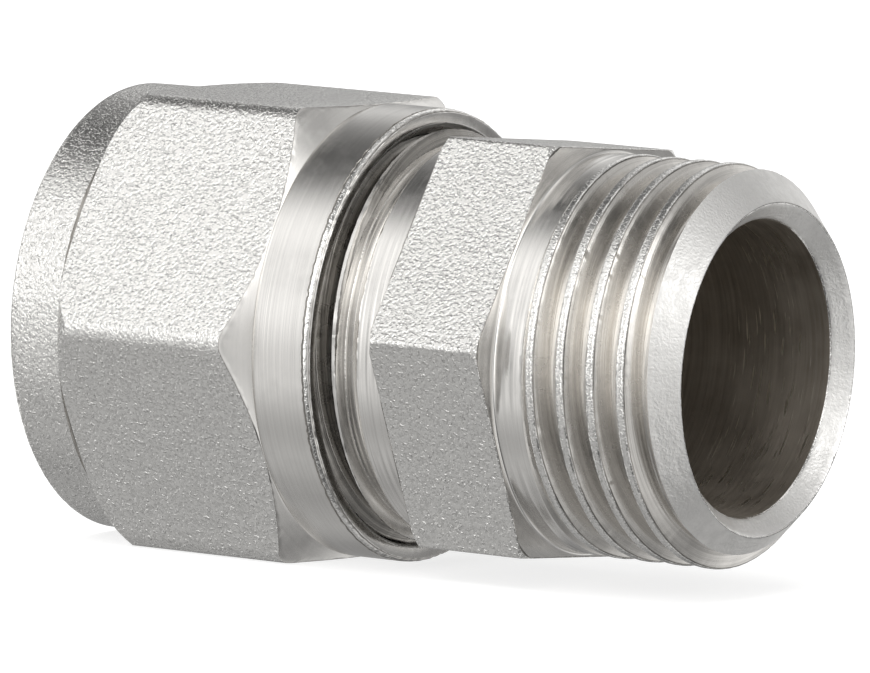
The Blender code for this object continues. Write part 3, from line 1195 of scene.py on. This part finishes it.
@dataclass
class CompressionNut:
    """The nut: collar, hexagon, plain barrel and the thread inside. Its places start at its rear face."""

    columns: int = 560
    hexagon: Hexagon = Hexagon(23.88, 1.25, 0.0)
    length: float = 18.75
    collar_length: float = 3.3
    collar_rear: float = 11.86
    collar_front: float = 11.9
    collar_shares: tuple[float, ...] = (0.12, 0.5, 0.92)
    rear_nick: float = 0.015
    rear_edge: tuple[EdgeRing, ...] = (
        EdgeRing(0.0, 0.19, Zone.FORGED),
        EdgeRing(0.02, 0.1, Zone.FORGED, 1.0),
        EdgeRing(0.07, 0.03, Zone.FORGED, 0.5),
        EdgeRing(0.16, 0.0, Zone.FORGED),
    )
    step_tear: float = 0.012
    step_knots: int = 220
    step_rings: tuple[EdgeRing, ...] = (
        # The step's first two bands are dark: painted shade in front of the collar
        EdgeRing(-0.2, 0.004, Zone.GAP, torn=1.0),
        EdgeRing(-0.15, 0.07, Zone.GAP, torn=1.0),
        EdgeRing(-0.05, 0.085, Zone.FORGED, torn=1.0),
    )
    hexagon_end: float = 15.3
    shoulder: float = 2.25
    shoulder_foot: float = 11.485
    shoulder_front: float = 0.075
    shoulder_shares: tuple[float, ...] = (0.0, 0.16, 0.34, 0.52, 0.7, 0.86, 1.0)
    flat_shares: tuple[float, ...] = (0.04, 0.2, 0.4, 0.6, 0.8)
    chamfer_shares: tuple[float, ...] = (0.16, 0.32, 0.52, 0.75, 0.95)
    chamfer_tear: float = 0.016
    chamfer_depth: float = 0.03
    chamfer_fade: float = 0.08
    chamfer_edge: tuple[tuple[float, float, Zone], ...] = (
        (0.09, 0.0, Zone.FORGED),
        # A thin band takes the darker groove finish: painted shade where the flats meet the chamfer
        (0.045, 0.004, Zone.ROOT),
        (0.01, 0.03, Zone.TURNED),
    )
    barrel_radius: float = 11.92
    barrel_start: tuple[EdgeRing, ...] = (
        # The first band takes the darker groove finish: painted shade at the barrel's edge
        EdgeRing(0.0, 0.012, Zone.ROOT),
        EdgeRing(0.045, 0.01),
        EdgeRing(0.09, 0.0),
    )
    barrel_ridges: Ridges = Ridges(0.12, 0.0035, Seed.BARREL)
    mouth_nick: float = 0.016
    mouth_tear: float = 0.026
    mouth_groove: tuple[EdgeRing, ...] = (
        # The groove's first two bands are dark: painted shade
        EdgeRing(-0.41, 0.002, Zone.GAP, torn=1.0),
        EdgeRing(-0.385, 0.045, Zone.GAP, torn=1.0),
        EdgeRing(-0.335, 0.05, Zone.EDGE, torn=0.6),
        EdgeRing(-0.3, 0.012, Zone.EDGE, 0.6, 0.6),
    )
    rim_tear: float = 0.016
    mouth_rim: tuple[EdgeRing, ...] = (
        EdgeRing(-0.22, 0.03, Zone.EDGE, 1.1, 1.0),
        EdgeRing(-0.13, 0.075, Zone.TURNED, 1.3, 1.0),
        # This thin band is dark: painted shade
        EdgeRing(-0.07, 0.13, Zone.GAP, 1.0, 0.7),
        EdgeRing(-0.045, 0.18, Zone.TURNED, 0.6, 0.5),
        EdgeRing(0.0, 0.22),
    )
    mouth_radius: float = 11.2
    mouth_rings: tuple[EdgeRing, ...] = (EdgeRing(0.0, -0.08), EdgeRing(-0.03, 0.0, Zone.RIM, -0.7))
    mouth_bevel: float = 0.32
    mouth_margin: float = 0.05
    thread_radius: float = 11.05
    crest_radius: float = 10.24
    thread_pitch: float = 1.5
    thread_crest: float = 18.88
    thread_start: float = 8.05
    bore_radius: float = 9.9
    cone_start: float = 2.6
    pipe_radius: float = 8.25

    def add_collar(self, skin: Skin) -> None:
        """Adds the rear face, the collar and the step in front of it.

        Args:
            skin: The nut's skin.
        """
        nick = np.abs(skin.waver(Seed.NUT_REAR, self.rear_nick))
        skin.ring(0.0, self.pipe_radius + 0.12, Zone.TURNED)
        skin.edge(0.0, self.collar_rear, self.rear_edge, nick)
        for share in self.collar_shares:
            radius = self.collar_rear + (self.collar_front - self.collar_rear) * share
            skin.ring(self.collar_length * share, radius, Zone.FORGED)
        tear = skin.waver(Seed.NUT_STEP, self.step_tear, self.step_knots)
        skin.edge(self.collar_length, self.collar_front, self.step_rings, tear=tear)

    def add_hexagon(self, skin: Skin) -> None:
        """Adds the rounded shoulder behind the hexagon, its flats and the 30 degree chamfer ahead.

        Args:
            skin: The nut's skin.
        """
        outer = self.hexagon.radius(skin.angles)
        base, size = self.shoulder_foot, self.shoulder
        foot = math.asin((self.collar_front - self.shoulder_front - base) / size)
        lift = np.arcsin(np.clip((outer - base) / size, 0.0, 1.0))
        for share in self.shoulder_shares:
            turn = foot + np.maximum(lift - foot, 0.0) * share
            place = self.collar_length + size * (1.0 - np.cos(turn))
            skin.ring(place, base + size * np.sin(turn), Zone.FORGED)
        behind = self.collar_length + size * (1.0 - np.cos(np.maximum(lift, foot)))
        ahead = self.hexagon_end - np.maximum(outer - self.barrel_radius, 0.0) * TRIM_SLOPE
        radius = np.maximum(outer, self.barrel_radius)
        for share in self.flat_shares:
            skin.ring(behind + (ahead - behind) * share, radius, Zone.FORGED)
        tear = skin.waver(Seed.NUT_CHAMFER, self.chamfer_tear)
        over = np.clip((radius - self.barrel_radius) / self.chamfer_fade, 0.0, 1.0)
        for back, sunk, zone in self.chamfer_edge:
            skin.ring(ahead - back + tear, radius - sunk * over, zone)
        for share in self.chamfer_shares:
            drop = (self.barrel_radius - radius) * share - self.chamfer_depth * over * (1.0 - share)
            skin.ring(ahead + (self.hexagon_end - ahead) * share, radius + drop, Zone.TURNED)

    def add_barrel(self, skin: Skin) -> None:
        """Adds the barrel, with a torn groove, a nicked rim and the end face at its mouth.

        Args:
            skin: The nut's skin.
        """
        end, barrel = self.length, self.barrel_radius
        skin.edge(self.hexagon_end, barrel, self.barrel_start)
        skin.ridged(self.hexagon_end + 0.2, end - 0.5, barrel, self.barrel_ridges, Zone.TURNED)
        nick = np.abs(skin.waver(Seed.MOUTH_NICKS, self.mouth_nick))
        skin.edge(end, barrel, self.mouth_groove, nick, skin.waver(Seed.MOUTH_TEAR, self.mouth_tear))
        skin.edge(end, barrel, self.mouth_rim, nick, skin.waver(Seed.MOUTH_RIM, self.rim_tear))
        skin.edge(end, self.mouth_radius, self.mouth_rings, nick)

    def add_inside(self, skin: Skin) -> None:
        """Adds the thread, the bore, the clamping cone and the pipe's hole, from the mouth back.

        Args:
            skin: The nut's skin.
        """
        root, crest = self.thread_radius, self.crest_radius
        outline = (
            # The whole thread is dark: painted shade inside the nut
            Corner(-0.129, root, 0.0, Zone.GAP),
            Corner(0.129, root, 0.0, Zone.GAP),
            Corner(0.441, crest, 0.01, Zone.GAP),
            Corner(0.5, crest, 0.004, Zone.GAP),
            Corner(0.559, crest, 0.01, Zone.GAP),
        )
        thread = Thread(self.thread_pitch, self.thread_crest, outline, Seed.NUT_THREAD)
        within = Skin(skin.angles)
        end, bore, pipe = self.length, self.bore_radius, self.pipe_radius

        def lowest(place: np.ndarray) -> np.ndarray:
            """The mouth's bevel."""
            return self.mouth_radius - (end - place)

        def highest(place: np.ndarray) -> np.ndarray:
            """The run-out into the bore."""
            return np.maximum(bore + (place - self.thread_start), lowest(place))

        def in_mouth(place: np.ndarray, radius: np.ndarray) -> np.ndarray:
            """The mouth's bevel, which stays bright beside the painted shade on the thread."""
            return (place > end - self.mouth_bevel) & (radius < self.mouth_radius + self.mouth_margin)

        skin.patches.append((in_mouth, Zone.RIM))
        thread.cut(within, self.thread_start, end - 0.04, lowest, highest)
        for (place, radius), zone in zip(reversed(within.rows), reversed(within.zones)):
            skin.ring(place, radius, zone)
        cone_end = self.cone_start + bore - pipe
        points = [(cone_end + 0.03, bore), (cone_end - 0.06, bore - 0.08)]
        points += [(self.cone_start + 0.05, pipe + 0.05), (self.cone_start - 0.05, pipe)]
        points += [(0.15, pipe), (0.04, pipe + 0.04)]
        skin.profile(points, Zone.TURNED)

    def build(self, finishes: list[bpy.types.Material]) -> bpy.types.Object:
        """Meshes and dresses the nut.

        Args:
            finishes: One material for each zone, in the zones' order.

        Returns:
            The piece, in place and riding on its CAD body.
        """
        skin = Skin(self.hexagon.columns(self.columns))
        self.add_collar(skin)
        self.add_hexagon(skin)
        self.add_barrel(skin)
        self.add_inside(skin)
        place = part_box("compression_nut")[0].x
        return settle(skin.grown("coupling_nut"), "compression_nut", place, finishes)


@dataclass
class SplitRing:
    """The brass ring that grips the pipe: cones at both ends, teeth inside and a slit at the top."""

    inner: float = 8.1
    outer: float = 9.5
    nose: float = 0.35
    slit: float = 2.0
    columns: int = 241
    inner_edge: float = 0.03
    bevel: float = 0.04
    grooves: int = 4
    groove_depth: float = 0.22

    def profile(self, length: float) -> list[Point]:
        """Draws the ring's cross-section.

        Args:
            length: How long the ring is.

        Returns:
            Pairs of place and radius, once round the section.
        """
        inner, outer, low, bevel = self.inner, self.outer, self.inner_edge, self.bevel
        nose = inner + self.nose
        step = outer - nose
        points = [(0.0, inner + low), (0.0, nose - bevel), (bevel, nose), (step - 0.05, outer - bevel)]
        points += [(step + 0.06, outer), (length - step - 0.06, outer), (length - step + 0.05, outer - bevel)]
        points += [(length - bevel, nose), (length, nose - bevel), (length, inner + low), (length - low, inner)]
        for groove in range(self.grooves, 0, -1):
            middle = groove * length / (self.grooves + 1)
            points += [(middle + self.groove_depth, inner), (middle, inner + self.groove_depth)]
            points += [(middle - self.groove_depth, inner)]
        return [*points, (low, inner)]

    def build(self, finish: bpy.types.Material) -> bpy.types.Object:
        """Meshes and dresses the ring.

        Args:
            finish: Its material.

        Returns:
            The piece, in place and riding on its CAD body.
        """
        low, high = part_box("split_ring")
        profile = self.profile((high.x - low.x) / MM)
        half = math.asin(self.slit / 2.0 / self.outer)
        angles = np.linspace(TURN / 4.0 + half, TURN * 1.25 - half, self.columns)
        points = [(x * MM, r * MM * math.cos(a), r * MM * math.sin(a)) for a in angles for x, r in profile]
        count = len(profile)
        faces = [tuple(range(count)), tuple(range(len(points) - 1, len(points) - count - 1, -1))]
        for row in range(self.columns - 1):
            for spot in range(count):
                a, b = row * count + spot, row * count + (spot + 1) % count
                faces.append((a, b, b + count, a + count))
        mesh = bpy.data.meshes.new("grip_ring")
        mesh.from_pydata(points, [], faces)
        return settle(piece_from("grip_ring", mesh), "split_ring", low.x, [finish])


@dataclass
class StemSeal:
    """An O-ring in its groove on the stem."""

    node: str
    section: float = 0.7
    middle: float = 5.45
    columns: int = 145
    sides: int = 24

    def build(self, finish: bpy.types.Material) -> bpy.types.Object:
        """Meshes and dresses the seal.

        Args:
            finish: Its material.

        Returns:
            The piece, in place and riding on its CAD body.
        """
        low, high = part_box(self.node)
        skin = Skin(np.linspace(0.0, TURN, self.columns))
        last = 360.0 - 360.0 / self.sides
        skin.profile(arc((0.0, self.middle), self.section, 0.0, last, self.sides - 1), Zone.TURNED)
        piece = skin.grown("o_ring_" + self.node[-1])
        return settle(piece, self.node, (low.x + high.x) / 2.0, [finish])


@dataclass
class InsulatingWasher:
    """The plastic washer at the bottom of the socket."""

    inner: float = 6.2
    outer: float = 7.95
    thickness: float = 1.5
    edge: float = 0.12
    columns: int = 193

    def build(self, finish: bpy.types.Material) -> bpy.types.Object:
        """Meshes and dresses the washer.

        Args:
            finish: Its material.

        Returns:
            The piece, in place and riding on its CAD body.
        """
        skin = Skin(np.linspace(0.0, TURN, self.columns))
        inner, outer = self.inner + self.edge, self.outer - self.edge
        rear, front = self.edge, self.thickness - self.edge
        corners = ((rear, inner, 270.0), (rear, outer, 180.0), (front, outer, 90.0), (front, inner, 0.0))
        for place, radius, start in corners:
            skin.profile(arc((place, radius), self.edge, start, start - 90.0, 5), Zone.TURNED)
        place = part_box("insulating_washer")[0].x
        return settle(skin.grown("socket_washer"), "insulating_washer", place, [finish])


def settle(
    piece: bpy.types.Object, node: str, place: float, finishes: list[bpy.types.Material]
) -> bpy.types.Object:
    """Puts a piece on the fitting's axis where its CAD node is, and lets it stand for the node.

    Args:
        piece: The piece, with its mesh round the X axis.
        node: The CAD node.
        place: The piece's origin along the axis, in metres.
        finishes: Its materials, in the order of their slots.

    Returns:
        The same piece.
    """
    low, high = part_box("compression_nut")
    piece.location = (place, (low.y + high.y) / 2.0, (low.z + high.z) / 2.0)
    for finish in finishes:
        piece.data.materials.append(finish)
    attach(piece, body_of(frame["nodes"][node])[0])
    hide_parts(node)
    return piece


# The studio


def toward(azimuth: float, elevation: float) -> Vector:
    """Points away from the fitting.

    Args:
        azimuth: The angle round the fitting: 0 is in front of it, 90 at its right.
        elevation: The angle above the floor.

    Returns:
        The unit vector.
    """
    a, e = math.radians(azimuth), math.radians(elevation)
    return Vector((math.sin(a) * math.cos(e), -math.cos(a) * math.cos(e), math.sin(e)))


class Glow(NamedTuple):
    """One soft patch of light far away: its direction in degrees and its strength."""

    azimuth: float
    elevation: float
    strength: float


@dataclass
class Studio:
    """A pale floor, soft light from all sides and the camera.

    The glows weren't chosen by hand. Another script solved for their directions and strengths, by least
    squares, from the photograph's brightness. The camera's numbers were fitted to its outlines as well.
    """

    azimuth: float = 32.468
    elevation: float = 5.741
    roll: float = 2.254
    across: float = 15.874
    up: float = -1.674
    distance: float = 600.0
    lens: float = 466.53
    sensor: float = 36.0
    clip: tuple[float, float] = (0.05, 10.0)
    floor_reach: float = 3.0
    floor_grey: float = 0.36
    floor_light: float = 0.75
    floor_roughness: float = 0.9
    lamp_power: float = 2.6
    lamp_spread: float = 70.0
    lamp_tilt: tuple[float, float] = (12.0, -8.0)
    tint: Colour = (1.0, 0.995, 0.985)
    base: float = 0.053
    tightness: float = 28.0
    glows: tuple[Glow, ...] = (
        Glow(106, 76, 0.66), Glow(139, 66, 0.72), Glow(-51, 60, 0.27), Glow(-19, 54, 0.71),
        Glow(-156, 53, 0.43), Glow(-6, 41, 1.2), Glow(79, 39, 0.86), Glow(-59, 38, 1.05),
        Glow(26, 36, 1.2), Glow(-164, 33, 0.92), Glow(143, 31, 0.5), Glow(6, 30, 1.2),
        Glow(91, 28, 1.2), Glow(-47, 28, 0.25), Glow(38, 26, 0.79), Glow(-99, 25, 1.2),
        Glow(-152, 23, 0.53), Glow(71, 22, 0.98), Glow(103, 19, 1.2), Glow(-2, 15, 1.2),
        Glow(-54, 13, 1.2), Glow(168, 12, 0.96), Glow(96, 4, 0.81), Glow(-42, 4, 0.89),
        Glow(161, -2, 0.24), Glow(-167, -6, 1.2), Glow(56, -6, 0.77), Glow(3, -8, 1.2),
        Glow(15, -17, 0.57), Glow(-122, -18, 1.2), Glow(-37, -20, 0.6), Glow(-90, -22, 1.2),
        Glow(80, -25, 0.75), Glow(165, -26, 0.95), Glow(113, -28, 0.67), Glow(-45, -36, 0.11),
        Glow(-12, -40, 0.35), Glow(73, -42, 0.49), Glow(158, -43, 0.2), Glow(-137, -54, 0.34),
        Glow(-52, -56, 0.33), Glow(-105, -60, 0.21), Glow(150, -69, 0.64), Glow(-40, -79, 0.46),
        Glow(-14, 24, 0.68), Glow(11, 6, 0.54), Glow(-65, -43, 0.13),
    )

    def make_world(self) -> None:
        """Fills the world with the soft patches of light."""
        world = bpy.data.worlds.new("soft_studio")
        bpy.context.scene.world = world
        world.use_nodes = True
        wiring = Wiring(world.node_tree)
        wiring.tree.nodes.clear()
        spot = wiring.node("ShaderNodeTexCoord").outputs["Generated"]
        total: object = self.base
        for glow in self.glows:
            dot = wiring.node("ShaderNodeVectorMath", operation="DOT_PRODUCT")
            wiring.fed(dot, spot, toward(glow.azimuth, glow.elevation))
            bend = wiring.maths("MULTIPLY_ADD", dot.outputs["Value"], self.tightness, -self.tightness)
            total = wiring.maths("MULTIPLY_ADD", wiring.maths("EXPONENT", bend), glow.strength, total)
        tinted = [wiring.maths("MULTIPLY", total, share) for share in self.tint]
        colour = wiring.fed(wiring.node("ShaderNodeCombineColor"), *tinted)
        shade = wiring.fed(wiring.node("ShaderNodeBackground"), colour)
        wiring.feed(wiring.node("ShaderNodeOutputWorld").inputs["Surface"], shade)

    def make_floor(self) -> None:
        """Lays the pale floor that the fitting rests on."""
        mesh = bpy.data.meshes.new("floor")
        reach = self.floor_reach
        corners = [(-reach, -reach, 0.0), (reach, -reach, 0.0), (reach, reach, 0.0), (-reach, reach, 0.0)]
        mesh.from_pydata(corners, [], [(0, 1, 2, 3)])
        material = bpy.data.materials.new("pale_floor")
        material.use_nodes = True
        inputs = material.node_tree.nodes["Principled BSDF"].inputs
        inputs["Base Color"].default_value = paint((self.floor_grey,) * 3)
        inputs["Emission Color"].default_value = paint((1.0, 1.0, 1.0))
        inputs["Emission Strength"].default_value = self.floor_light
        inputs["Roughness"].default_value = self.floor_roughness
        inputs["Specular IOR Level"].default_value = 0.0
        mesh.materials.append(material)
        floor = linked("floor", mesh)
        floor.visible_glossy = False

    def make_lamp(self) -> None:
        """Hangs one large soft lamp over the floor, out of sight of the metal."""
        light = bpy.data.lights.new("overhead", "SUN")
        light.energy = self.lamp_power
        light.angle = math.radians(self.lamp_spread)
        lamp = linked("overhead", light)
        lamp.rotation_euler = (*(math.radians(tilt) for tilt in self.lamp_tilt), 0.0)
        lamp.visible_glossy = False

    def make_camera(self) -> None:
        """Sets the camera at the photograph's viewing angle."""
        back = toward(self.azimuth, self.elevation)
        a, r = math.radians(self.azimuth), math.radians(self.roll)
        level = Vector((math.cos(a), math.sin(a), 0.0))
        upward = back.cross(level)
        right = math.cos(r) * level + math.sin(r) * upward
        top = math.cos(r) * upward - math.sin(r) * level
        data = bpy.data.cameras.new("studio_camera")
        data.sensor_width = self.sensor
        data.sensor_fit = "HORIZONTAL"
        data.lens = self.lens
        data.clip_start, data.clip_end = self.clip
        camera = linked("studio_camera", data)
        low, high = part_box("compression_nut")
        start = Vector((low.x, 0.0, (low.z + high.z) / 2.0))
        spot = start + (self.across * right + self.up * top + self.distance * back) * MM
        camera.matrix_world = Matrix.Translation(spot) @ Matrix((right, top, back)).transposed().to_4x4()
        bpy.context.scene.camera = camera
        log.info("camera %.1f mm from the nut", (spot - start).length / MM)

    def build(self) -> None:
        """Sets up the whole studio."""
        self.make_world()
        self.make_floor()
        self.make_lamp()
        self.make_camera()
        bpy.context.scene.view_settings.view_transform = "Standard"


def zone_finishes() -> list[bpy.types.Material]:
    """Draws the finishes of the two turned forgings.

    Returns:
        One material for each zone, in the zones' order.
    """
    # Darker, browner nickel for thread roots and the relief groove: painted shade, over real turning marks
    groove_shade_finish = TurnedNickel(
        "groove_shade_nickel",
        colour=(0.80, 0.778, 0.745),
        roughness=0.22,
        line_depth=0.012,
        line_shade=0.8,
        fineness=8600.0,
        drift=1.5,
    )
    # Dark nickel with darker lines for gaps, thin grooves and the nut's thread: painted shade
    painted_shade_finish = TurnedNickel(
        "painted_shade_nickel", colour=(0.5, 0.48, 0.45), roughness=0.26, line_depth=0.022, line_shade=0.4, drift=1.5
    )
    drawn = {
        Zone.TURNED: TurnedNickel("turned_nickel"),
        Zone.FORGED: ForgedNickel("forged_nickel"),
        Zone.BORE: BoreMetal("bore_metal"),
        Zone.ROOT: groove_shade_finish,
        Zone.GAP: painted_shade_finish,
        Zone.RIM: FacedNickel("faced_nickel"),
        Zone.EDGE: ForgedNickel("worn_edges", roughness=0.17, grain=7200.0, grain_depth=0.008),
    }
    return [drawn[zone].material() for zone in Zone]


def main() -> None:
    """Builds the fitting's pieces in order, then the studio."""
    zones = zone_finishes()
    brass = Brass("bare_brass").material()
    rubber = Moulded("black_rubber", (0.018, 0.018, 0.018), (0.09, 0.088, 0.082), 0.5).material()
    plastic = Moulded("white_plastic", (0.8, 0.79, 0.75), (0.62, 0.6, 0.55), 0.38).material()
    pieces = [
        FittingBody().build(zones),
        CompressionNut().build(zones),
        SplitRing().build(brass),
        StemSeal("stem_seal_1").build(rubber),
        StemSeal("stem_seal_2").build(rubber),
        InsulatingWasher().build(plastic),
    ]
    for piece in pieces:
        count = sum(len(face.vertices) - 2 for face in piece.data.polygons)
        log.info("%s: %d triangles", piece.name, count)
    Studio().build()


if __name__ == "__main__":
    main()
